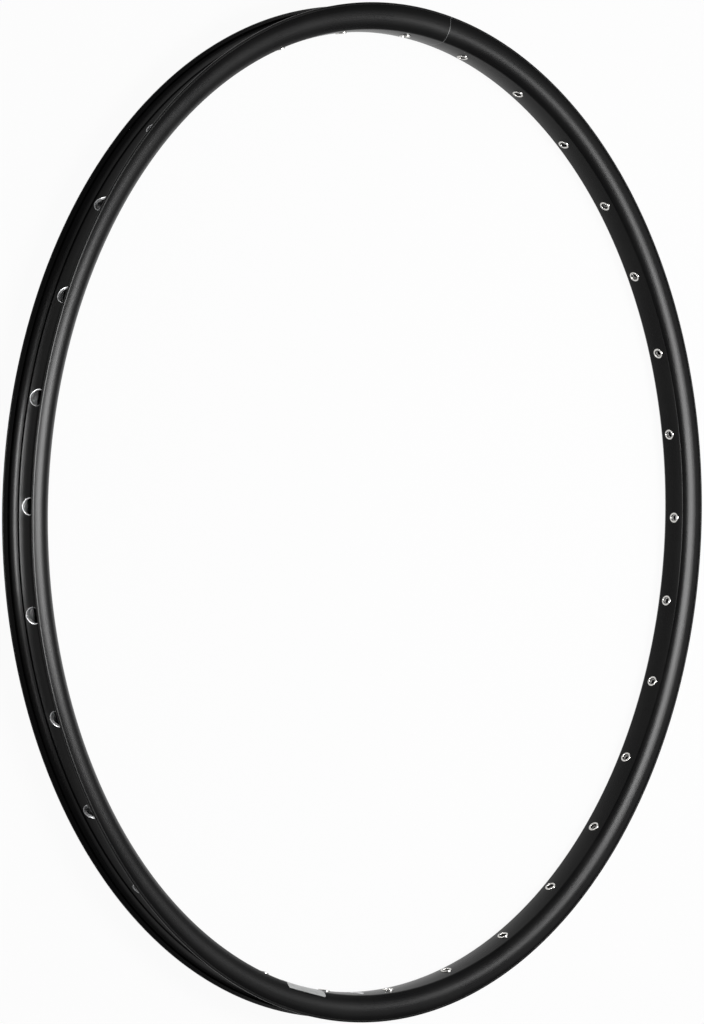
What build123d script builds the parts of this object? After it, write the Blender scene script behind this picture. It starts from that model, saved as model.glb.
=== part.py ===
from build123d import *
import os
from math import cos, degrees, radians, sin

# A double-wall bicycle rim lying flat on one side. The wheel's axis is Z and the origin is the
# centre of the wheel. The valve hole is on -Y and the joint of the hoop on +Y.
# Lengths are in millimetres and angles in degrees.

# Size class
bead_seat_diameter = 622.0
inner_width = 19.0

# Outer form of the section
rim_width = 25.0
flange_height = 6.0
section_height = 17.0
side_bulge_radius = 14.6
side_crest_depth = 5.2
side_crest_inset = 0.1
crown_radius = 34.0
spoke_face_corner = 2.0

# Flange lips on the outside and tyre hooks on the inside
lip_height = 1.3
lip_taper = 0.5
lip_width = 1.0
lip_edge = 0.4
hook_height = 2.0
hook_depth = 1.1
hook_edge = 0.5

# Tyre channel
shelf_width = 4.3
shelf_edge = 0.3
bead_pocket_radius = 9.0
step_height = 0.8
step_draft = 0.3
well_depth = 2.4
well_corner = 0.6

# Walls round the hollow chamber
side_wall = 1.3
spoke_wall = 1.9
bed_wall = 1.5
chamber_corner = 0.6

# Spoke holes, staggered to each side of the middle
spoke_hole_count = 32
hole_stagger = 0.65
access_hole_diameter = 9.2

# Eyelets riveted into the spoke face
eyelet_bore = 4.5
eyelet_tube = 5.2
eyelet_flange = 7.2
eyelet_flange_thickness = 0.9
eyelet_flange_round = 0.45
eyelet_flare = 6.6
eyelet_flare_thickness = 0.5
eyelet_flare_round = 0.2
eyelet_hole_clearance = 0.05
eyelet_seat_clearance = 0.15
flange_seat_depth = 0.3
flare_seat_depth = 0.1

# Valve hole
valve_angle = 270.0
valve_hole_diameter = 8.5
valve_hole_countersink = 0.8

# Butt joint of the hoop, and the sleeve bonded into the chamber behind it
joint_gap = 0.1
sleeve_length = 44.0
sleeve_wall = 1.2
sleeve_clearance = 0.03

# Blank label on the spoke face, folded over one corner on to the side wall
label_length = 35.0
label_thickness = 0.12
label_fold_height = 3.3
label_far_half = 6.0
label_corner = 1.5
label_gap = 5.2

# Derived radii from the wheel's axis, and half widths from the middle plane
bead_seat_radius = bead_seat_diameter / 2
outer_radius = bead_seat_radius + flange_height
spoke_face_radius = outer_radius - section_height
crest_radius = outer_radius - side_crest_depth
half_width = rim_width / 2
side_centre = half_width - side_crest_inset - side_bulge_radius
lip_half = half_width - lip_width
hook_half = inner_width / 2
hook_nose_radius = outer_radius - hook_height
hook_root_radius = hook_nose_radius - hook_depth
channel_half = hook_half + hook_depth
shelf_half = channel_half - shelf_width
step_half = shelf_half - step_draft
step_radius = bead_seat_radius - step_height
well_radius = bead_seat_radius - well_depth
well_drop = well_depth - step_height
well_arc = (step_half**2 + well_drop**2) / (2 * well_drop)
chamber_floor_radius = spoke_face_radius + spoke_wall
chamber_middle_radius = (chamber_floor_radius + well_radius - bed_wall) / 2
flange_seat_radius = spoke_face_radius + flange_seat_depth
flare_seat_radius = chamber_floor_radius - flare_seat_depth

# Derived half widths of the hole cutter
drill_half = eyelet_tube / 2 + eyelet_hole_clearance
flange_seat_half = eyelet_flange / 2 + eyelet_seat_clearance
flare_seat_half = eyelet_flare / 2 + eyelet_seat_clearance

# Derived angles round the wheel
hole_pitch = 360 / spoke_hole_count
joint_angle = valve_angle + 180
sleeve_arc = degrees(sleeve_length / chamber_middle_radius)

# Overrun of cuts past the surfaces that they open, and the reach of a vertex search
overrun = 2.0
near = 0.01


def section_plane(angle):
    """The half plane of the section at an angle round the wheel: x is the radius, y the width."""
    a = radians(angle)
    return Plane(origin=(0, 0, 0), x_dir=(cos(a), sin(a), 0), z_dir=(sin(a), -cos(a), 0))


def radial_plane(angle, radius, width=0.0):
    """A plane square to the radius at an angle round the wheel, its normal pointing outward."""
    a = radians(angle)
    origin = (radius * cos(a), radius * sin(a), width)
    return Plane(origin=origin, x_dir=(0, 0, 1), z_dir=(cos(a), sin(a), 0))


def hole_angle(index):
    """Holes are numbered from the valve hole, which lies half a pitch before the first."""
    return valve_angle + (index + 0.5) * hole_pitch


def hole_side(index):
    return hole_stagger if index % 2 == 0 else -hole_stagger


def hole_places():
    """The place of every spoke hole's line, which starts at the wheel's axis and runs outward."""
    return [radial_plane(hole_angle(i), 0, hole_side(i)).location for i in range(spoke_hole_count)]


def at_radius(vertices, radius):
    return vertices.filter_by_position(Axis.X, radius - near, radius + near)


def from_middle(vertex):
    return abs(vertex.Y)


def outer_form(film=0.0):
    """The outer form of the section: bulged side walls and a crowned spoke face, under a film or bare."""
    with BuildSketch() as form:
        with Locations((crest_radius, side_centre)):
            Circle(side_bulge_radius + film)
        with Locations((crest_radius, -side_centre)):
            Circle(side_bulge_radius + film, mode=Mode.INTERSECT)
        with Locations((spoke_face_radius + crown_radius, 0)):
            Circle(crown_radius + film, mode=Mode.INTERSECT)
        fillet(form.vertices().group_by(Axis.X)[0], spoke_face_corner + film)
    return form.sketch


# Tyre channel: bevelled hooks, curved bead shelves and the drop well, drawn as radius and width
with BuildSketch() as tyre_channel:
    with BuildLine():
        for side in (1, -1):
            hook_root = (hook_root_radius, side * channel_half)
            shelf_end = (bead_seat_radius, side * shelf_half)
            Polyline(
                (outer_radius + overrun, 0),
                (outer_radius + overrun, side * lip_half),
                (outer_radius, side * lip_half),
                (hook_nose_radius, side * hook_half),
                hook_root,
            )
            RadiusArc(hook_root, shelf_end, -side * bead_pocket_radius)
            Line(shelf_end, (step_radius, side * step_half))
        ThreePointArc((step_radius, step_half), (well_radius, 0), (step_radius, -step_half))
    make_face()
    fillet(at_radius(tyre_channel.vertices(), hook_nose_radius), hook_edge)
    fillet(at_radius(tyre_channel.vertices(), hook_root_radius), hook_edge)
    fillet(at_radius(tyre_channel.vertices(), bead_seat_radius), shelf_edge)
    fillet(at_radius(tyre_channel.vertices(), step_radius), well_corner)

# Hollow chamber between the spoke face, the side walls and the tyre bed
with BuildSketch() as chamber:
    with Locations((crest_radius, side_centre)):
        Circle(side_bulge_radius - side_wall)
    with Locations((crest_radius, -side_centre)):
        Circle(side_bulge_radius - side_wall, mode=Mode.INTERSECT)
    with Locations((spoke_face_radius + crown_radius, 0)):
        Circle(crown_radius - spoke_wall, mode=Mode.INTERSECT)
    Rectangle(bead_seat_radius, rim_width, align=(Align.MIN, Align.CENTER), mode=Mode.INTERSECT)
    with Locations((well_radius + well_arc, 0)):
        Circle(well_arc + bed_wall, mode=Mode.SUBTRACT)
    fillet(chamber.vertices().group_by(Axis.X)[0], chamber_corner)
    fillet(chamber.vertices().sort_by(from_middle)[-2:], chamber_corner)

# Section of the hoop: the outer form with lips, less the channel and the chamber
with BuildSketch() as hoop_section:
    add(outer_form())
    Rectangle(outer_radius, rim_width, align=(Align.MIN, Align.CENTER), mode=Mode.INTERSECT)
    lip_foot_radius = outer_radius - lip_height
    for side in (1, -1):
        with BuildLine():
            Polyline(
                (outer_radius, side * hook_half),
                (outer_radius, side * half_width),
                (lip_foot_radius, side * half_width),
                (lip_foot_radius - lip_taper, side * (half_width - 2 * lip_taper)),
                (lip_foot_radius - lip_taper, side * hook_half),
                close=True,
            )
        make_face()
    add(tyre_channel.sketch, mode=Mode.SUBTRACT)
    fillet(at_radius(hoop_section.vertices(), outer_radius), lip_edge)
    fillet(at_radius(hoop_section.vertices(), lip_foot_radius), lip_edge)
    add(chamber.sketch, mode=Mode.SUBTRACT)

# Hole cutter: the seats, the drilled hole and the access hole on one line, as offset and radius
with BuildPart() as hole_cutter:
    with BuildSketch(Plane.XZ):
        with BuildLine():
            Polyline(
                (0, spoke_face_radius - overrun),
                (flange_seat_half, spoke_face_radius - overrun),
                (flange_seat_half, flange_seat_radius),
                (drill_half, flange_seat_radius),
                (drill_half, flare_seat_radius),
                (flare_seat_half, flare_seat_radius),
                (flare_seat_half, chamber_middle_radius),
                (access_hole_diameter / 2, chamber_middle_radius),
                (access_hole_diameter / 2, outer_radius + overrun),
                (0, outer_radius + overrun),
                close=True,
            )
        make_face()
    revolve(axis=Axis.Z)

# Rim hoop: one rolled length of hollow section, drilled and cut at its joint
with BuildPart() as rim_hoop:
    with BuildSketch(section_plane(valve_angle)):
        add(hoop_section.sketch)
    revolve(axis=Axis.Z)
    with Locations(*hole_places()):
        add(hole_cutter.part, mode=Mode.SUBTRACT)
    with Locations(radial_plane(valve_angle, spoke_face_radius - overrun).location):
        Cylinder(valve_hole_diameter / 2, 2 * section_height, mode=Mode.SUBTRACT)
        Cone(
            valve_hole_diameter / 2 + valve_hole_countersink + overrun,
            valve_hole_diameter / 2,
            valve_hole_countersink + overrun,
            align=(Align.CENTER, Align.CENTER, Align.MIN),
            mode=Mode.SUBTRACT,
        )
    with Locations(radial_plane(joint_angle, crest_radius).location):
        Box(2 * rim_width, joint_gap, 2 * section_height, mode=Mode.SUBTRACT)
rim_hoop.part.label = "rim_hoop"

# Joint sleeve: a short hollow length that fills the chamber across the joint
with BuildPart() as joint_sleeve:
    with BuildSketch(section_plane(joint_angle - sleeve_arc / 2)):
        offset(chamber.sketch, amount=-sleeve_clearance)
        offset(chamber.sketch, amount=-sleeve_clearance - sleeve_wall, mode=Mode.SUBTRACT)
    revolve(axis=Axis.Z, revolution_arc=sleeve_arc)
joint_sleeve.part.label = "joint_sleeve"

# Blank label: a thin film beside the last eyelet before the valve hole, with rounded corners
label_reach = eyelet_flange / 2 + label_gap + label_length / 2
label_angle = hole_angle(-1) - degrees(label_reach / spoke_face_radius)
with BuildPart() as label:
    with BuildSketch(section_plane(label_angle - hole_pitch / 2)):
        add(outer_form(label_thickness))
        add(outer_form(), mode=Mode.SUBTRACT)
    revolve(axis=Axis.Z, revolution_arc=hole_pitch)
    with BuildSketch(radial_plane(label_angle, spoke_face_radius, -label_far_half)):
        RectangleRounded(rim_width, label_length, label_corner, align=(Align.MIN, Align.CENTER))
    extrude(amount=section_height, both=True, mode=Mode.INTERSECT)
    with BuildSketch(Plane.XY.rotated((0, 0, label_angle))):
        with Locations((spoke_face_radius + label_fold_height, 0)):
            RectangleRounded(section_height, label_length, label_corner, align=(Align.MAX, Align.CENTER))
    extrude(amount=rim_width, both=True, mode=Mode.INTERSECT)
label.part.label = "label"

# Eyelet: a rivet with a domed flange on the spoke face and a flare inside the chamber
flange_face_radius = flange_seat_radius - eyelet_flange_thickness
flare_end_radius = flare_seat_radius + eyelet_flare_thickness
with BuildPart() as eyelet:
    with BuildSketch(Plane.XZ) as eyelet_profile:
        with BuildLine():
            Polyline(
                (eyelet_bore / 2, flange_face_radius),
                (eyelet_flange / 2, flange_face_radius),
                (eyelet_flange / 2, flange_seat_radius),
                (eyelet_tube / 2, flange_seat_radius),
                (eyelet_tube / 2, flare_seat_radius),
                (eyelet_flare / 2, flare_seat_radius),
                (eyelet_flare / 2, flare_end_radius),
                (eyelet_bore / 2, flare_end_radius),
                close=True,
            )
        make_face()
        fillet(eyelet_profile.vertices().group_by(Axis.Y)[0], eyelet_flange_round)
        fillet(eyelet_profile.vertices().group_by(Axis.Y)[-1], eyelet_flare_round)
    revolve(axis=Axis.Z)

pieces = [rim_hoop.part, joint_sleeve.part, label.part]
for index, place in enumerate(hole_places()):
    with BuildPart() as placed_eyelet:
        with Locations(place):
            add(eyelet.part)
    placed_eyelet.part.label = f"eyelet_{index + 1:02d}"
    pieces.append(placed_eyelet.part)

os.makedirs("parts", exist_ok=True)
for piece in pieces:
    export_step(piece, f"parts/{piece.label}.step")
    print(piece.label, round(piece.volume, 2))
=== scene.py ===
import math

import bmesh
import bpy
from mathutils import Matrix, Vector


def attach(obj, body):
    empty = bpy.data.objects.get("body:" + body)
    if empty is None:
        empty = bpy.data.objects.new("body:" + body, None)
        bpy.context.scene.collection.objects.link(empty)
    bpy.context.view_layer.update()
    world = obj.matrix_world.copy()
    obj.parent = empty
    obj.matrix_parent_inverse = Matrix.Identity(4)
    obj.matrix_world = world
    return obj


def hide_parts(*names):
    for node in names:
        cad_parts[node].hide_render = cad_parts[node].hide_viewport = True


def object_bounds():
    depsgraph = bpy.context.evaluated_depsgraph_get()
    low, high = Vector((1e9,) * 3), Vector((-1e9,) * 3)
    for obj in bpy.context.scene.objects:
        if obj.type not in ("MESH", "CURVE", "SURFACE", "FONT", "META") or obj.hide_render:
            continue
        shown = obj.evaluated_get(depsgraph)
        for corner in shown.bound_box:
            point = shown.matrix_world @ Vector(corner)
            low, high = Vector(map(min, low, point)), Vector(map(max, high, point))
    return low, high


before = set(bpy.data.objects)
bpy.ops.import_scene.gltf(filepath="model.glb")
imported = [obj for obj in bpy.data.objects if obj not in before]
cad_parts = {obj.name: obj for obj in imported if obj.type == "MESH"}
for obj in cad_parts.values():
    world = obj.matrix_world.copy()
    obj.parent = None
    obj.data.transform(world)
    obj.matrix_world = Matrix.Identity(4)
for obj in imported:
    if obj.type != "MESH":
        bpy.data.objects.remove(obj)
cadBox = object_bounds()
mm = 0.001
print("frame loaded with", len(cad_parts), "nodes")


class Tone:
    # a socket of a finish, with arithmetic that adds Math nodes
    def __init__(self, finish, socket):
        self.finish = finish
        self.socket = socket

    def __add__(self, other):
        return self.finish.maths("ADD", self, other)

    def __radd__(self, other):
        return self.finish.maths("ADD", other, self)

    def __sub__(self, other):
        return self.finish.maths("SUBTRACT", self, other)

    def __rsub__(self, other):
        return self.finish.maths("SUBTRACT", other, self)

    def __mul__(self, other):
        return self.finish.maths("MULTIPLY", self, other)

    def __rmul__(self, other):
        return self.finish.maths("MULTIPLY", other, self)

    def __truediv__(self, other):
        return self.finish.maths("DIVIDE", self, other)

    def __rtruediv__(self, other):
        return self.finish.maths("DIVIDE", other, self)

    def __pow__(self, other):
        return self.finish.maths("POWER", self, other)

    def __abs__(self):
        return self.finish.maths("ABSOLUTE", self)


class Finish:
    # a node tree and the nodes that a surface finish is made of
    def __init__(self, tree):
        self.tree = tree
        self.tree.nodes.clear()

    def node(self, kind, settings=None, sockets=None, out=0):
        made = self.tree.nodes.new(kind)
        for key, value in (settings or {}).items():
            setattr(made, key, value)
        for key, value in (sockets or {}).items():
            if isinstance(value, Tone):
                self.tree.links.new(value.socket, made.inputs[key])
            else:
                made.inputs[key].default_value = value
        if isinstance(out, tuple):
            return [Tone(self, made.outputs[key]) for key in out]
        return Tone(self, made.outputs[out]) if len(made.outputs) else made

    def maths(self, operation, first, second=0.0):
        return self.node("ShaderNodeMath", {"operation": operation}, {0: first, 1: second})

    def mix(self, factor, low, high):
        return self.node("ShaderNodeMix", {"data_type": "RGBA"}, {0: factor, 6: low, 7: high}, out=2)

    def fade(self, value, low, high):
        # 0 at low, 1 at high, with soft ends
        settings = {"interpolation_type": "SMOOTHSTEP"}
        return self.node("ShaderNodeMapRange", settings, {"Value": value, "From Min": low, "From Max": high})

    def noise(self, vector, scale, detail=2.0, roughness=0.5):
        sockets = {"Vector": vector, "Scale": scale, "Detail": detail, "Roughness": roughness}
        return self.node("ShaderNodeTexNoise", {"noise_dimensions": "3D"}, sockets)

    def vector(self, x, y, z):
        return self.node("ShaderNodeCombineXYZ", None, {0: x, 1: y, 2: z})

    def place(self):
        return self.node("ShaderNodeTexCoord", out="Object")

    def wheelPlace(self):
        # radius, width and angle round the wheel; the angle turns over at the joint on +Y
        x, y, z = self.node("ShaderNodeSeparateXYZ", None, {0: self.place()}, out=(0, 1, 2))
        radius = (x * x + y * y) ** 0.5
        angle = self.maths("ARCTAN2", x, 0.0 - y)
        return radius, z, angle

    def bump(self, height, distance, strength):
        sockets = {"Height": height, "Distance": distance, "Strength": strength}
        return self.node("ShaderNodeBump", None, sockets)

    def surface(self, sockets):
        shader = self.node("ShaderNodeBsdfPrincipled", None, sockets)
        self.node("ShaderNodeOutputMaterial", None, {"Surface": shader})


def newFinish(name):
    material = bpy.data.materials.new(name)
    material.use_nodes = True
    return material, Finish(material.node_tree)


anodising = {
    "black": (0.002, 0.002, 0.0021, 1.0),
    "greyed": (0.004, 0.004, 0.0039, 1.0),
    "bare": (0.72, 0.725, 0.73, 1.0),
    "specular": 0.115,
    "roughness": 0.29,
    "lineDensity": 1500.0,  # drawing lines across the section, per metre
    "lineStretch": 7.0,  # how often a line changes, per radian
    "lineRoughness": 0.10,
    "lineRelief": 0.6,
    "grainScale": 2400.0,
    "grainRelief": 0.4,
    "smudgeScale": 16.0,
    "smudgeEdges": (0.35, 0.7),
    "smudgeRoughness": 0.12,
    "chipScale": 900.0,
    "chipSpread": 0.8,
    "wearEdges": (0.35, 0.65),
    "bareRoughness": 0.2,
    "bareMetal": 0.9,
    "seamEdges": (0.000088, 0.00022),  # metres from the joint
    "seamShow": 0.4,
    "reliefDepth": 0.000012,
    "reliefStrength": 0.5,
}


def makeBlackAnodised(look):
    material, finish = newFinish("black_anodised")
    radius, width, angle = finish.wheelPlace()
    place = finish.place()
    density = look["lineDensity"]
    drawn = finish.vector(radius * density, width * density, angle * look["lineStretch"])
    lines = finish.noise(drawn, 1.0, detail=3.0, roughness=0.6)
    grain = finish.noise(place, look["grainScale"], detail=1.0)
    smudges = finish.noise(place, look["smudgeScale"], detail=4.0, roughness=0.6)
    seam = 1.0 - finish.fade((math.pi - abs(angle)) * radius, *look["seamEdges"])
    worn = finish.node("ShaderNodeAttribute", {"attribute_name": "worn"}, out="Fac")
    chips = finish.noise(place, look["chipScale"], detail=3.0)
    rubbed = finish.fade(worn + (chips - 0.5) * look["chipSpread"], *look["wearEdges"])
    bare = finish.maths("MAXIMUM", rubbed, seam * look["seamShow"])
    dye = finish.mix(finish.fade(smudges, *look["smudgeEdges"]), look["black"], look["greyed"])
    uneven = (lines - 0.5) * look["lineRoughness"] + (smudges - 0.5) * look["smudgeRoughness"]
    relief = lines * look["lineRelief"] + grain * look["grainRelief"]
    finish.surface({
        "Base Color": finish.mix(bare, dye, look["bare"]),
        "Metallic": bare * look["bareMetal"],
        "Roughness": look["roughness"] + uneven + bare * look["bareRoughness"],
        "Specular IOR Level": look["specular"],
        "Normal": finish.bump(relief, look["reliefDepth"], look["reliefStrength"]),
    })
    return material


eyeletFinish = {
    "bright": (0.58, 0.57, 0.55, 1.0),
    "dull": (0.30, 0.29, 0.275, 1.0),
    "roughness": 0.2,
    "tarnishScale": 420.0,
    "tarnishEdges": (0.5, 0.78),
    "tarnishShare": 0.7,
    "tarnishRoughness": 0.16,
    "scuffScale": 5200.0,
    "scuffRoughness": 0.10,
    "reliefDepth": 0.00001,
    "reliefStrength": 0.35,
}


def makeBrightEyelet(look):
    material, finish = newFinish("bright_eyelet")
    place = finish.place()
    clouds = finish.noise(place, look["tarnishScale"], detail=4.0, roughness=0.65)
    tarnish = finish.fade(clouds, *look["tarnishEdges"])
    scuffs = finish.noise(place, look["scuffScale"], detail=2.0)
    uneven = tarnish * look["tarnishRoughness"] + (scuffs - 0.5) * look["scuffRoughness"]
    finish.surface({
        "Base Color": finish.mix(tarnish * look["tarnishShare"], look["bright"], look["dull"]),
        "Metallic": 1.0,
        "Roughness": look["roughness"] + uneven,
        "Normal": finish.bump(scuffs, look["reliefDepth"], look["reliefStrength"]),
    })
    return material


labelFinish = {
    "film": (0.50, 0.505, 0.50, 1.0),
    "shade": (0.40, 0.405, 0.40, 1.0),
    "roughness": 0.42,
    "mottleScale": 260.0,
    "mottleEdges": (0.38, 0.72),
    "mottleRelief": 0.7,
    "fibreScale": 3200.0,
    "fibreRoughness": 0.2,
    "fibreRelief": 0.3,
    "reliefDepth": 0.00004,
    "reliefStrength": 0.4,
}


def makeLabelFilm(look):
    material, finish = newFinish("label_film")
    place = finish.place()
    mottle = finish.noise(place, look["mottleScale"], detail=5.0, roughness=0.6)
    fibres = finish.noise(place, look["fibreScale"], detail=2.0)
    relief = mottle * look["mottleRelief"] + fibres * look["fibreRelief"]
    finish.surface({
        "Base Color": finish.mix(finish.fade(mottle, *look["mottleEdges"]), look["film"], look["shade"]),
        "Roughness": look["roughness"] + (fibres - 0.5) * look["fibreRoughness"],
        "Normal": finish.bump(relief, look["reliefDepth"], look["reliefStrength"]),
    })
    return material


sleeveFinish = {
    "metal": (0.62, 0.625, 0.63, 1.0),
    "stained": (0.40, 0.40, 0.395, 1.0),
    "roughness": 0.34,
    "lineDensity": 1200.0,
    "lineStretch": 20.0,
    "lineRoughness": 0.24,
    "stainScale": 120.0,
    "stainEdges": (0.45, 0.75),
    "reliefDepth": 0.00002,
    "reliefStrength": 0.5,
}


def makeBareAluminium(look):
    material, finish = newFinish("bare_aluminium")
    radius, width, angle = finish.wheelPlace()
    density = look["lineDensity"]
    drawn = finish.vector(radius * density, width * density, angle * look["lineStretch"])
    lines = finish.noise(drawn, 1.0, detail=3.0, roughness=0.6)
    clouds = finish.noise(finish.place(), look["stainScale"], detail=4.0)
    stains = finish.fade(clouds, *look["stainEdges"])
    finish.surface({
        "Base Color": finish.mix(stains, look["metal"], look["stained"]),
        "Metallic": 1.0,
        "Roughness": look["roughness"] + (lines - 0.5) * look["lineRoughness"],
        "Normal": finish.bump(lines, look["reliefDepth"], look["reliefStrength"]),
    })
    return material


blackAnodised = makeBlackAnodised(anodising)
brightEyelet = makeBrightEyelet(eyeletFinish)
labelFilm = makeLabelFilm(labelFinish)
bareAluminium = makeBareAluminium(sleeveFinish)
print("finishes made")


# Section of the hoop as (radius, width) in millimetres

section = {
    "beadSeat": 311.0, "outer": 317.0, "spokeFace": 300.0, "halfWidth": 12.5,
    "bulge": 14.6, "bulgeRadius": 311.8, "bulgeOffset": 2.2, "crown": 34.0, "corner": 2.0,
    "lipHeight": 1.3, "lipTaper": 0.5, "lipWidth": 1.0, "lipEdge": 0.4,
    "hookHalf": 9.5, "hookHeight": 2.0, "hookDepth": 1.1, "hookEdge": 0.5,
    "pocket": 9.0, "shelfHalf": 6.3, "shelfEdge": 0.3,
    "stepHeight": 0.8, "stepHalf": 6.0, "wellDepth": 2.4, "wellCorner": 0.6,
    "sideWall": 1.3, "spokeWall": 1.9, "bedWall": 1.5, "chamberCorner": 0.6,
    "facePatch": 6.5, "bedPatch": 5.62, "patchRows": 8,
    "cornerSteps": 5, "sideSteps": 15, "pocketSteps": 7, "filletSteps": 3, "meetSteps": 40,
    "chamberCornerSteps": 3, "chamberSideSteps": 6, "roofSteps": 4,
    "bareFrom": 6.8,  # the dye has not reached the chamber's sides
}
bulgeCentre = (section["bulgeRadius"], -section["bulgeOffset"])
crownRadius = section["spokeFace"] + section["crown"]  # radius at the centre of the crown's arc
stepRadius = section["beadSeat"] - section["stepHeight"]
wellRadius = section["beadSeat"] - section["wellDepth"]
wellDrop = stepRadius - wellRadius
wellArc = (section["stepHalf"] ** 2 + wellDrop ** 2) / (2 * wellDrop)
wellCentre = wellRadius + wellArc


def spokeFaceRadius(width):
    return crownRadius - math.sqrt(section["crown"] ** 2 - width ** 2)


def chamberFloorRadius(width):
    return crownRadius - math.sqrt((section["crown"] - section["spokeWall"]) ** 2 - width ** 2)


def bedRadius(width):
    return wellCentre - math.sqrt(wellArc ** 2 - width ** 2)


def chamberRoofRadius(width):
    return wellCentre - math.sqrt((wellArc + section["bedWall"]) ** 2 - width ** 2)


def arcPoints(centre, radius, start, end, steps):
    points = []
    for k in range(steps + 1):
        turn = start + (end - start) * k / steps
        points.append((centre[0] + radius * math.cos(turn), centre[1] + radius * math.sin(turn)))
    return points


def arcBetween(start, end, radius, steps):
    # points of an arc that is hollow towards larger radii
    a, b = Vector(start), Vector(end)
    half = (b - a) / 2
    rise = Vector((half.y, -half.x)).normalized()
    rise = rise if rise.x > 0 else -rise
    centre = a + half + rise * math.sqrt(radius ** 2 - half.length_squared)
    turns = [math.atan2(point.y - centre.y, point.x - centre.x) % (2 * math.pi) for point in (a, b)]
    return arcPoints(centre, radius, turns[0], turns[1], steps)


def crownCorner(inset, crown, corner, steps):
    # fillet between the crown and the bulged side: its points and where it meets the side
    bulge = section["bulge"] - inset
    a = Vector((crownRadius, 0.0))
    b = Vector(bulgeCentre)
    ra = crown - corner
    rb = bulge - corner
    gap = (b - a).length
    along = (ra ** 2 - rb ** 2 + gap ** 2) / (2 * gap)
    across = math.sqrt(ra ** 2 - along ** 2)
    way = (b - a) / gap
    middle = a + way * along
    side = Vector((way.y, -way.x))
    centre = max(middle + side * across, middle - side * across, key=lambda point: point.y)
    fromCrown = centre - a
    fromSide = centre - b
    start = math.atan2(fromCrown.y, fromCrown.x)
    end = math.atan2(fromSide.y, fromSide.x)
    return arcPoints(centre, corner, start, end, steps), end


def roundedRun(corners, steps):
    # straight runs joined by fillets; each corner is (radius, width, fillet)
    points = [corners[0][:2]]
    for before, corner, after in zip(corners, corners[1:], corners[2:]):
        here = Vector(corner[:2])
        inward = (here - Vector(before[:2])).normalized()
        outward = (Vector(after[:2]) - here).normalized()
        turn = inward.angle_signed(outward)  # clockwise is positive
        if corner[2] == 0.0:
            points.append(corner[:2])
            continue
        back = corner[2] * math.tan(abs(turn) / 2)
        start = here - inward * back
        hand = -1.0 if turn > 0 else 1.0
        normal = Vector((-inward.y, inward.x)) * hand
        centre = start + normal * corner[2]
        spoke = start - centre
        for k in range(steps + 1):
            swing = Matrix.Rotation(-turn * k / steps, 2)
            points.append(tuple(centre + swing @ spoke))
    points.append(corners[-1][:2])
    return points


def hoopSide():
    # outline of the + side from the spoke face to the tyre bed, both ends left out
    s = section
    corner, sideStart = crownCorner(0.0, s["crown"], s["corner"], s["cornerSteps"])
    lipFoot = s["outer"] - s["lipHeight"]
    # the lip's taper meets the bulge where the two have the same width
    low, high = lipFoot - s["lipTaper"], lipFoot
    slope = s["lipWidth"] / s["lipTaper"]
    for _ in range(s["meetSteps"]):
        meet = (low + high) / 2
        taper = s["halfWidth"] - slope * (lipFoot - meet)
        bulge = -s["bulgeOffset"] + math.sqrt(s["bulge"] ** 2 - (meet - s["bulgeRadius"]) ** 2)
        low, high = (meet, high) if taper < bulge else (low, meet)
    sideEnd = math.acos((meet - s["bulgeRadius"]) / s["bulge"])
    side = arcPoints(bulgeCentre, s["bulge"], sideStart, sideEnd, s["sideSteps"])
    hookNose = s["outer"] - s["hookHeight"]
    hookRoot = (hookNose - s["hookDepth"], s["hookHalf"] + s["hookDepth"])
    shelfEnd = (s["beadSeat"], s["shelfHalf"])
    pocket = arcBetween(hookRoot, shelfEnd, s["pocket"], s["pocketSteps"])
    run = roundedRun([
        (*side[-1], 0.0),
        (lipFoot, s["halfWidth"], s["lipEdge"]),
        (s["outer"], s["halfWidth"], s["lipEdge"]),
        (s["outer"], s["halfWidth"] - s["lipWidth"], s["lipEdge"]),
        (hookNose, s["hookHalf"], s["hookEdge"]),
        (*hookRoot, s["hookEdge"]),
        *[(*point, 0.0) for point in pocket[1:-1]],
        (*shelfEnd, s["shelfEdge"]),
        (stepRadius, s["stepHalf"], s["wellCorner"]),
        (bedRadius(s["bedPatch"]), s["bedPatch"], 0.0),
    ], s["filletSteps"])
    halfway = (s["facePatch"] + corner[0][1]) / 2
    return [(spokeFaceRadius(halfway), halfway)] + corner + side[1:] + run[1:-1]


def chamberSide():
    # outline of the chamber's + side from its floor to its roof, both ends left out
    s = section
    floorArc = s["crown"] - s["spokeWall"]
    corner, sideStart = crownCorner(s["sideWall"], floorArc, s["chamberCorner"], s["chamberCornerSteps"])
    roof = s["beadSeat"]
    reach = s["bulge"] - s["sideWall"]
    sideEnd = math.acos((roof - s["chamberCorner"] - s["bulgeRadius"]) / reach)
    side = arcPoints(bulgeCentre, reach, sideStart, sideEnd, s["chamberSideSteps"])
    roofHalf = math.sqrt((wellArc + s["bedWall"]) ** 2 - (wellCentre - roof) ** 2)
    steps = s["roofSteps"]
    widths = [roofHalf + (s["bedPatch"] - roofHalf) * k / steps for k in range(steps)]
    roofCorner = (roof, side[-1][1] - s["chamberCorner"])
    return corner + side[1:] + [roofCorner] + [(chamberRoofRadius(w), w) for w in widths]


def closedOutline(low, lowHalf, side, high, highHalf):
    # whole loop: the lower patch, the + side, the upper patch and the - side
    rows = section["patchRows"]
    lower = [-lowHalf + 2 * lowHalf * k / rows for k in range(rows + 1)]
    upper = [highHalf - 2 * highHalf * k / rows for k in range(rows + 1)]
    loop = [(low(w), w) for w in lower] + side + [(high(w), w) for w in upper]
    return loop + [(r, -w) for r, w in reversed(side)]


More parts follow.
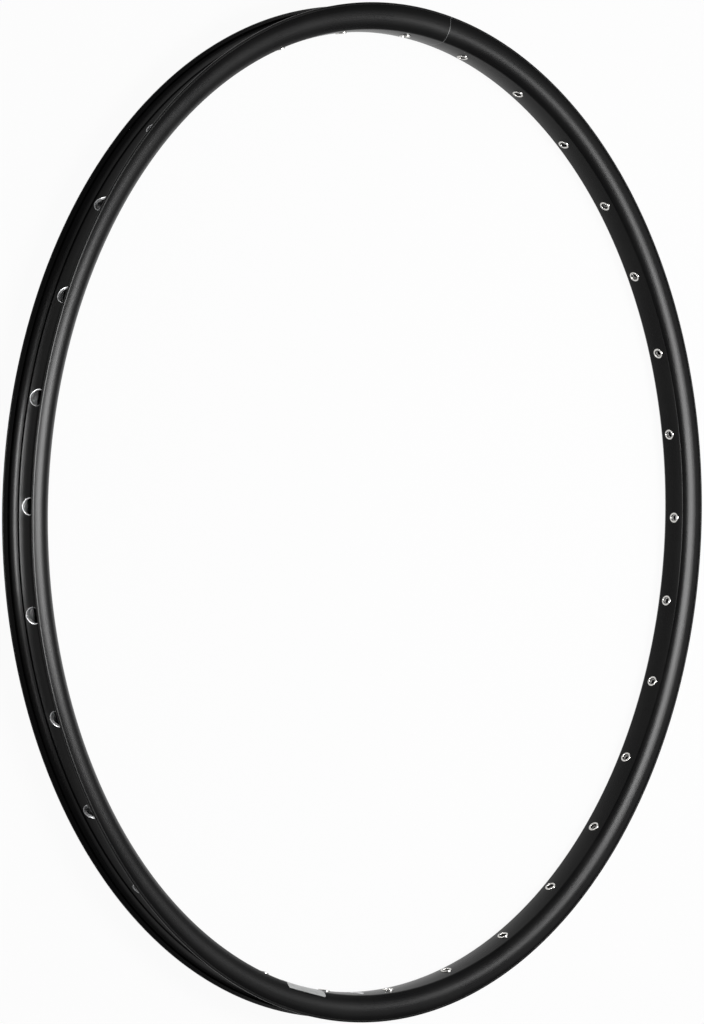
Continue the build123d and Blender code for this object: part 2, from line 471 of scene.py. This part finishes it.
holes = {
    "count": 32, "valveAngle": 270.0, "stagger": 0.65,
    "patchAngle": 1.3, "patchColumns": 8, "patchRings": 2, "patchEase": 0.8,
    "outerColumns": (4, 2), "hollowColumns": (2, 1),  # in a plain cell, and beside a hole's patch
    "seat": 3.75, "seatRadius": 300.3, "drill": 2.65, "flareSeat": 3.45, "flareSeatRadius": 301.8,
    "access": 4.6, "accessLip": 0.4, "valve": 4.25, "valveSink": 0.8, "valveLip": 0.15,
    "lipSteps": 3, "roofInset": 0.1, "sinkRim": 0.05, "sinkSteps": 20,
    "jointGap": 0.1,
}
pitch = 360.0 / holes["count"]
sharpAngle = math.radians(38)


def holeWidth(index):
    return holes["stagger"] if index % 2 == 0 else -holes["stagger"]


def closeEnds(shell):
    # the two cut ends at the joint are flat rings between the outside and the chamber
    for side in (-1, 1):
        ends = [edge for edge in shell.edges if edge.is_boundary and edge.verts[0].co.x * side > 0]
        if ends:
            bmesh.ops.triangle_fill(shell, use_beauty=True, edges=ends)


class Skin:
    # vertices in metres, faces and the wear of each vertex
    def __init__(self):
        self.points = []
        self.faces = []
        self.worn = []

    def add(self, radius, angle, width, worn=0.0):
        self.points.append((radius * math.cos(angle) * mm, radius * math.sin(angle) * mm, width * mm))
        self.worn.append(worn)
        return len(self.points) - 1

    def bridge(self, first, second):
        # quads between two rings of as many points
        count = len(first)
        for k in range(count):
            after = (k + 1) % count
            self.faces.append((first[k], first[after], second[after], second[k]))

    def piece(self, name, material):
        mesh = bpy.data.meshes.new(name)
        mesh.from_pydata(self.points, [], self.faces)
        shell = bmesh.new()
        shell.from_mesh(mesh)
        closeEnds(shell)
        bmesh.ops.recalc_face_normals(shell, faces=shell.faces)
        shell.to_mesh(mesh)
        shell.free()
        mesh.shade_smooth()
        wear = mesh.attributes.new("worn", "FLOAT", "POINT")
        wear.data.foreach_set("value", self.worn)
        mesh.materials.append(material)
        made = bpy.data.objects.new(name, mesh)
        bpy.context.scene.collection.objects.link(made)
        return made


def smoothByFace(piece):
    # large faces keep their own normals beside small fillets
    shell = bmesh.new()
    shell.from_mesh(piece.data)
    for edge in shell.edges:
        if len(edge.link_faces) == 2 and edge.calc_face_angle() > sharpAngle:
            edge.smooth = False
    shell.to_mesh(piece.data)
    shell.free()
    even = piece.modifiers.new("even_normals", "WEIGHTED_NORMAL")
    even.keep_sharp = True
    even.weight = 50


def columnsOf(plainColumns, sideColumns):
    # angles round the wheel from the joint, and the first column of each hole's patch
    angles, patches = [], {}
    half = pitch / 4
    inner = holes["patchAngle"]
    for cell in range(2 * holes["count"]):
        centre = holes["valveAngle"] - 180.0 + cell * pitch / 2
        hasHole = cell % 2 == 1
        isValve = cell == holes["count"]
        if hasHole or isValve:
            edges = [(-half, -inner, sideColumns), (-inner, inner, holes["patchColumns"]),
                     (inner, half, sideColumns)]
        else:
            edges = [(-half, half, plainColumns)]
        for low, high, steps in edges:
            if low == -inner:
                patches[cell] = len(angles)
            angles += [centre + low + (high - low) * k / steps for k in range(steps)]
    return angles, patches


class Wall:
    # a closed outline swept round the wheel, with patches left open for the holes
    def __init__(self, skin, outline, columns, bareFrom=math.inf):
        self.skin = skin
        self.outline = outline
        angles, patches = columnsOf(*columns)
        # the sweep starts and ends at the joint, which stands in the middle of the first cell
        start = holes["valveAngle"] - 180.0
        gap = math.degrees(holes["jointGap"] / 2 / section["beadSeat"])
        turned = [a for a in angles if a > start + gap] + [a + 360.0 for a in angles if a < start - gap]
        skipped = sum(1 for a in angles if a <= start + gap)
        self.angles = [math.radians(a) for a in [start + gap, *turned, start + 360.0 - gap]]
        self.patches = {cell: first - skipped + 1 for cell, first in patches.items()}
        self.grid = [[skin.add(r, a, w, float(abs(w) > bareFrom)) for r, w in outline] for a in self.angles]

    def sweep(self, openRows):
        skipped = set()
        for first in self.patches.values():
            for column in range(first, first + holes["patchColumns"]):
                skipped.update((column, row) for row in openRows)
        count = len(self.outline)
        for column in range(len(self.angles) - 1):
            here, there = self.grid[column], self.grid[column + 1]
            for row in range(count):
                if (column, row) in skipped:
                    continue
                after = (row + 1) % count
                self.skin.faces.append((here[row], here[after], there[after], there[row]))

    def patchRing(self, cell, firstRow, radiusOf, hub, circle):
        # fills a patch from its square edge to a round one; circle gives the hole's radius by turn
        first = self.patches[cell]
        last = first + holes["patchColumns"]
        rows = section["patchRows"]
        edge = [(c, firstRow) for c in range(first, last)]
        edge += [(last, firstRow + k) for k in range(rows)]
        edge += [(c, firstRow + rows) for c in range(last, first, -1)]
        edge += [(first, firstRow + rows - k) for k in range(rows)]
        centre, width = hub
        flat = []
        for column, row in edge:
            r, w = self.outline[row]
            flat.append((r * math.sin(self.angles[column] - centre), w - width))
        corners = [0, holes["patchColumns"], holes["patchColumns"] + rows, 2 * holes["patchColumns"] + rows]
        turns = evenTurns(flat, corners)
        rings = [[self.grid[c][r] for c, r in edge]]
        for k in range(1, holes["patchRings"] + 1):
            share = (k / holes["patchRings"]) ** holes["patchEase"]
            ring = []
            for (t, w), turn in zip(flat, turns):
                size = circle(turn)
                across = t + (size * math.cos(turn) - t) * share
                along = width + w + (size * math.sin(turn) - w) * share
                ring.append(surfacePoint(self.skin, radiusOf, centre, across, along))
            rings.append(ring)
        for outer, inner in zip(rings, rings[1:]):
            self.skin.bridge(outer, inner)
        return rings[-1], turns


def evenTurns(flat, corners):
    # directions from the hole's middle, evenly spread between the patch's corners
    count = len(flat)
    turns = [0.0] * count
    stops = corners + [count]
    for start, end in zip(stops, stops[1:]):
        a = math.atan2(flat[start][1], flat[start][0])
        b = math.atan2(flat[end % count][1], flat[end % count][0])
        swing = (b - a + math.pi) % (2 * math.pi) - math.pi
        for k in range(start, end):
            turns[k] = a + swing * (k - start) / (end - start)
    return turns


def surfacePoint(skin, radiusOf, centre, across, width):
    r = radiusOf(width)
    return skin.add(r, centre + math.asin(across / r), width)


def holeRing(skin, hub, turns, size, depth, worn=0.0):
    # a ring on the hole's own line: depth is the distance from the wheel's axis, or a function of place
    centre, width = hub
    ring = []
    for turn in turns:
        across, along = size * math.cos(turn), width + size * math.sin(turn)
        reach = depth(across, along) if callable(depth) else depth
        ring.append(skin.add(math.hypot(reach, across), centre + math.atan2(across, reach), along, worn))
    return ring


def alongHole(radiusOf, step=0.0):
    # distance along a hole's line of the point on a surface, moved by a step
    return lambda across, width: math.sqrt(radiusOf(width) ** 2 - across ** 2) + step


def makeHoop():
    skin = Skin()
    s, h = section, holes
    rows = s["patchRows"]
    side, inside = hoopSide(), chamberSide()
    outside = closedOutline(spokeFaceRadius, s["facePatch"], side, bedRadius, s["bedPatch"])
    chamber = closedOutline(chamberFloorRadius, s["facePatch"], inside, chamberRoofRadius, s["bedPatch"])
    outer = Wall(skin, outside, h["outerColumns"])
    hollow = Wall(skin, chamber, h["hollowColumns"], s["bareFrom"])
    bedRow = rows + 1 + len(side)
    roofRow = rows + 1 + len(inside)
    outer.sweep([*range(rows), *range(bedRow, bedRow + rows)])
    hollow.sweep([*range(rows), *range(roofRow, roofRow + rows)])
    for cell in outer.patches:
        centre = math.radians(h["valveAngle"] - 180.0 + cell * pitch / 2)
        isValve = cell == h["count"]
        index = (cell - h["count"] - 1) // 2
        hub = (centre, 0.0 if isValve else holeWidth(index))
        if isValve:
            spokeSide, roof, lip = valveRings(skin, outer, hollow, cell, hub), h["valve"], h["valveLip"]
        else:
            spokeSide, roof, lip = eyeletRings(skin, outer, hollow, cell, hub), h["access"], h["accessLip"]
        bed, turns = outer.patchRing(cell, bedRow, bedRadius, hub, lambda turn: roof + lip)
        rings = [bed]
        for k in range(1, h["lipSteps"] + 1):
            swing = math.pi / 2 * k / h["lipSteps"]
            drop = -lip * (1 - math.cos(swing))
            size = roof + lip * (1 - math.sin(swing))
            rings.append(holeRing(skin, hub, turns, size, alongHole(bedRadius, drop), 1.0))
        far, _ = hollow.patchRing(cell, roofRow, chamberRoofRadius, hub, lambda turn: roof)
        rings.append(holeRing(skin, hub, turns, roof, alongHole(chamberRoofRadius, h["roofInset"]), 1.0))
        rings.append(far)
        for first, second in zip(rings, rings[1:]):
            skin.bridge(first, second)
        for first, second in zip(spokeSide, spokeSide[1:]):
            skin.bridge(first, second)
    return skin.piece("hoop_body", blackAnodised)


def eyeletRings(skin, outer, hollow, cell, hub):
    h = holes
    face, turns = outer.patchRing(cell, 0, spokeFaceRadius, hub, lambda turn: h["seat"])
    floor, _ = hollow.patchRing(cell, 0, chamberFloorRadius, hub, lambda turn: h["flareSeat"])
    return [
        face,
        holeRing(skin, hub, turns, h["seat"], h["seatRadius"]),
        holeRing(skin, hub, turns, h["drill"], h["seatRadius"], 1.0),
        holeRing(skin, hub, turns, h["drill"], h["flareSeatRadius"], 1.0),
        holeRing(skin, hub, turns, h["flareSeat"], h["flareSeatRadius"]),
        floor,
    ]


def valveRings(skin, outer, hollow, cell, hub):
    h = holes

    def sinkRadius(turn):
        # where the countersink's cone meets the crowned face
        size = h["valve"]
        for _ in range(h["sinkSteps"]):
            reach = alongHole(spokeFaceRadius)(size * math.cos(turn), size * math.sin(turn))
            size = h["valve"] + h["valveSink"] - (reach - section["spokeFace"])
        return size

    face, turns = outer.patchRing(cell, 0, spokeFaceRadius, hub, sinkRadius)
    floor, _ = hollow.patchRing(cell, 0, chamberFloorRadius, hub, lambda turn: h["valve"])
    sinkFoot = section["spokeFace"] + h["valveSink"]
    bright = []
    for turn in turns:
        # just inside the edge of the countersink, which is bare metal
        size = sinkRadius(turn) - h["sinkRim"]
        bright += holeRing(skin, hub, [turn], size, sinkFoot + h["valve"] - size, 1.0)
    return [face, bright, holeRing(skin, hub, turns, h["valve"], sinkFoot, 1.0), floor]


hoopBody = makeHoop()
smoothByFace(hoopBody)
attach(hoopBody, "root")
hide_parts("rim_hoop")
print("hoop made with", len(hoopBody.data.polygons), "faces")


eyelet = {
    "bore": 2.25, "tube": 2.6, "flange": 3.6, "flare": 3.3,
    "flangeFace": 299.4, "flareEnd": 302.3,
    "flangeRound": 0.45, "flareRound": 0.2, "columns": 48, "roundSteps": 5,
}


def eyeletOutline():
    # closed loop of (distance from the hole's line, distance along it from the wheel's axis)
    e = eyelet
    seat, flareSeat = holes["seatRadius"], holes["flareSeatRadius"]
    middle = (seat + flareSeat) / 2
    half = roundedRun([
        (e["bore"], middle, 0.0),
        (e["bore"], e["flangeFace"], e["flangeRound"]),
        (e["flange"], e["flangeFace"], e["flangeRound"]),
        (e["flange"], seat, 0.0),
        (e["tube"], seat, 0.0),
        (e["tube"], flareSeat, 0.0),
        (e["flare"], flareSeat, 0.0),
        (e["flare"], e["flareEnd"], e["flareRound"]),
        (e["bore"], e["flareEnd"], e["flareRound"]),
        (e["bore"], middle, 0.0),
    ], e["roundSteps"])
    return half[:-1]


def makeEyelet(index):
    skin = Skin()
    centre = math.radians(holes["valveAngle"] + (index + 0.5) * pitch)
    hub = (centre, holeWidth(index))
    turns = [2 * math.pi * k / eyelet["columns"] for k in range(eyelet["columns"])]
    rings = [holeRing(skin, hub, turns, size, reach) for size, reach in eyeletOutline()]
    for first, second in zip(rings, rings[1:] + rings[:1]):
        skin.bridge(first, second)
    name = f"eyelet_{index + 1:02d}"
    piece = skin.piece(name + "_bright", brightEyelet)
    smoothByFace(piece)
    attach(piece, "root")
    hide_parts(name)


for index in range(holes["count"]):
    makeEyelet(index)
print(holes["count"], "eyelets made")


label = {
    "length": 35.0, "farHalf": 6.0, "foldHeight": 3.3, "thickness": 0.12, "corner": 1.5, "gap": 5.2,
    "columns": 40, "rows": 24,
    "drawnHalf": 7.0, "sideTurn": 0.6, "cornerSteps": 12, "runSteps": 40,  # before it is cut to size
}


def filmOutline(thickness):
    # the spoke face from its far side, round the corner and up the side wall
    s, steps = section, label["runSteps"]
    reach = s["crown"] + thickness
    corner, sideStart = crownCorner(-thickness, reach, s["corner"] + thickness, label["cornerSteps"])
    far, near = -label["drawnHalf"], corner[0][1]
    widths = [far + (near - far) * k / steps for k in range(steps)]
    crown = [(crownRadius - math.sqrt(reach ** 2 - w ** 2), w) for w in widths]
    sideEnd = sideStart - label["sideTurn"]
    side = arcPoints(bulgeCentre, s["bulge"] + thickness, sideStart, sideEnd, steps)
    return crown + corner + side[1:]


def evenRun(points, count):
    # as many points at even steps along a run of points
    lengths = [0.0]
    for before, after in zip(points, points[1:]):
        lengths.append(lengths[-1] + math.dist(before, after))
    run, place = [], 0
    for k in range(count + 1):
        want = lengths[-1] * k / count
        while place < len(points) - 2 and lengths[place + 1] < want:
            place += 1
        share = (want - lengths[place]) / (lengths[place + 1] - lengths[place])
        run.append(tuple(Vector(points[place]).lerp(Vector(points[place + 1]), share)))
    return run


def between(points, measure, low, high):
    # the stretch of a run between two values of a measure that grows along it
    kept = []
    for before, after in zip(points, points[1:]):
        a, b = measure(before), measure(after)
        if b <= low or a >= high:
            continue
        ends = [max(low, a), min(high, b)]
        kept += [tuple(Vector(before).lerp(Vector(after), (end - a) / (b - a))) for end in ends]
    return kept[::2] + kept[-1:]


def makeLabel():
    skin = Skin()
    beside = eyelet["flange"] + label["gap"] + label["length"] / 2
    centre = math.radians(holes["valveAngle"] - pitch / 2) - beside / section["spokeFace"]
    halfLength, corner = label["length"] / 2, label["corner"]
    edge = section["spokeFace"] + label["foldHeight"]
    # the columns crowd towards the rounded ends
    columns = label["columns"]
    stops = [halfLength * math.sin(math.pi * (k / columns - 0.5)) for k in range(columns + 1)]

    def sheet(outline):
        grid = []
        for across in stops:
            past = max(abs(across) - (halfLength - corner), 0.0)
            cut = corner - math.sqrt(max(corner ** 2 - past ** 2, 0.0))
            run = between(outline, lambda point: point[1], -label["farHalf"] + cut, math.inf)
            split = next(k for k, point in enumerate(run) if point[1] > 0.0)
            limit = math.hypot(edge - cut, across)
            run = run[:split] + between(run[split:], lambda point: point[0], 0.0, limit)
            run = evenRun(run, label["rows"])
            grid.append([skin.add(r, centre + math.asin(across / r), w) for r, w in run])
        return grid

    def border(grid):
        loop = [column[0] for column in grid] + grid[-1][1:]
        return loop + [column[-1] for column in reversed(grid[:-1])] + grid[0][-2:0:-1]

    face, back = sheet(filmOutline(label["thickness"])), sheet(filmOutline(0.0))
    for grid in (face, back):
        for here, there in zip(grid, grid[1:]):
            for row in range(label["rows"]):
                skin.faces.append((here[row], here[row + 1], there[row + 1], there[row]))
    skin.bridge(border(face), border(back))
    return skin.piece("label_blank", labelFilm)


labelBlank = makeLabel()
smoothByFace(labelBlank)
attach(labelBlank, "root")
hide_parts("label")
print("label made")

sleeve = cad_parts["joint_sleeve"]
sleeve.data.materials.clear()
sleeve.data.materials.append(bareAluminium)
print("sleeve finished")


studio = {
    "floorSize": 60.0,
    "floor": (0.80, 0.80, 0.80, 1.0),
    "fleck": (0.7, 0.7, 0.7, 1.0),
    "fleckScale": 3.0,
    "fleckShare": 0.05,
    "whiteShare": 0.95,  # plain white in what the camera and reflections see of the floor
    "room": (0.25, 0.25, 0.255, 1.0),
}


def makeFloor(settings, height):
    material, finish = newFinish("pale_floor")
    camera, glossy, transmitted = finish.node(
        "ShaderNodeLightPath", out=("Is Camera Ray", "Is Glossy Ray", "Is Transmission Ray"))
    seen = finish.maths("MAXIMUM", finish.maths("MAXIMUM", camera, glossy), transmitted)
    flecks = finish.noise(finish.place(), settings["fleckScale"], detail=2.0)
    paint = finish.mix(flecks * settings["fleckShare"], settings["floor"], settings["fleck"])
    matt = {"Base Color": paint, "Roughness": 1.0, "Specular IOR Level": 0.0}
    lit = finish.node("ShaderNodeBsdfPrincipled", None, matt)
    white = finish.node("ShaderNodeEmission", None, {"Strength": 1.0})
    shown = finish.node("ShaderNodeMixShader", None, {0: seen * settings["whiteShare"], 1: lit, 2: white})
    finish.node("ShaderNodeOutputMaterial", None, {"Surface": shown})
    half = settings["floorSize"] / 2
    mesh = bpy.data.meshes.new("floor")
    corners = [(x * half, y * half, height) for x, y in ((-1, -1), (1, -1), (1, 1), (-1, 1))]
    mesh.from_pydata(corners, [], [(0, 1, 2, 3)])
    mesh.materials.append(material)
    floor = bpy.data.objects.new("floor", mesh)
    bpy.context.scene.collection.objects.link(floor)


def makeRoom(settings):
    world = bpy.data.worlds.new("room")
    bpy.context.scene.world = world
    world.use_nodes = True
    finish = Finish(world.node_tree)
    air = finish.node("ShaderNodeBackground", None, {"Color": settings["room"], "Strength": 1.0})
    finish.node("ShaderNodeOutputWorld", None, {"Surface": air})


def makeLamp(name, place, aim, size, power, sheenOnly):
    data = bpy.data.lights.new(name, "AREA")
    data.shape = "RECTANGLE"
    data.size, data.size_y = size
    data.energy = power
    lamp = bpy.data.objects.new(name, data)
    lamp.location = place
    lamp.rotation_euler = (Vector(aim) - Vector(place)).to_track_quat("-Z", "Y").to_euler()
    lamp.visible_camera = False
    lamp.visible_diffuse = not sheenOnly
    bpy.context.scene.collection.objects.link(lamp)


# Place, aim, size, power, and whether a lamp shows only in gloss
lamps = {
    "overhead_softbox": ((0.31, 0.06, 0.92), (0.0, 0.0, 0.0), (0.40, 0.50), 6.2, False),
    "overhead_sheen": ((0.31, 0.06, 0.921), (0.0, 0.0, 0.0), (0.40, 0.50), 14.0, True),
    "overhead_tail": ((0.68, 0.06, 0.88), (0.0, 0.0, 0.0), (0.24, 0.28), 2.6, True),
    "far_panel": ((1.5, 0.05, 1.25), (0.0, 0.0, 0.0), (1.5, 1.1), 2.8, False),
    "channel_strip": ((-0.52, -0.046, 0.018), (0.0, 0.0, 0.018), (0.235, 0.032), 1.30, True),
    "channel_tail": ((-0.521, -0.090, 0.018), (0.0, -0.040, 0.018), (0.70, 0.032), 0.60, True),
    "corner_strip": ((0.0, -0.015, 0.020), (0.3, -0.015, 0.012), (0.07, 0.040), 0.33, True),
}

makeFloor(studio, cadBox[0].z)
makeRoom(studio)
for name, lampSettings in lamps.items():
    makeLamp(name, *lampSettings)
print("floor and lamps placed")


viewpoint = {
    "aim": (-0.0410, -0.0040, 0.0),
    "azimuth": -174.407,
    "elevation": 41.733,
    "distance": 1.7991,
    "roll": 91.045,
    "lens": 102.23,
    "sensor": 36.0,
}


def makeCamera(settings):
    data = bpy.data.cameras.new("camera")
    data.lens = settings["lens"]
    data.sensor_width = settings["sensor"]
    camera = bpy.data.objects.new("camera", data)
    around, up = math.radians(settings["azimuth"]), math.radians(settings["elevation"])
    back = Vector((math.cos(around) * math.cos(up), math.sin(around) * math.cos(up), math.sin(up)))
    upright = (-back).to_track_quat("-Z", "Y").to_matrix()
    rolled = upright @ Matrix.Rotation(math.radians(settings["roll"]), 3, "Z")
    place = Vector(settings["aim"]) + back * settings["distance"]
    camera.matrix_world = Matrix.LocRotScale(place, rolled, None)
    bpy.context.scene.collection.objects.link(camera)
    bpy.context.scene.camera = camera


makeCamera(viewpoint)
bpy.context.scene.view_settings.view_transform = "Standard"
print("camera set")
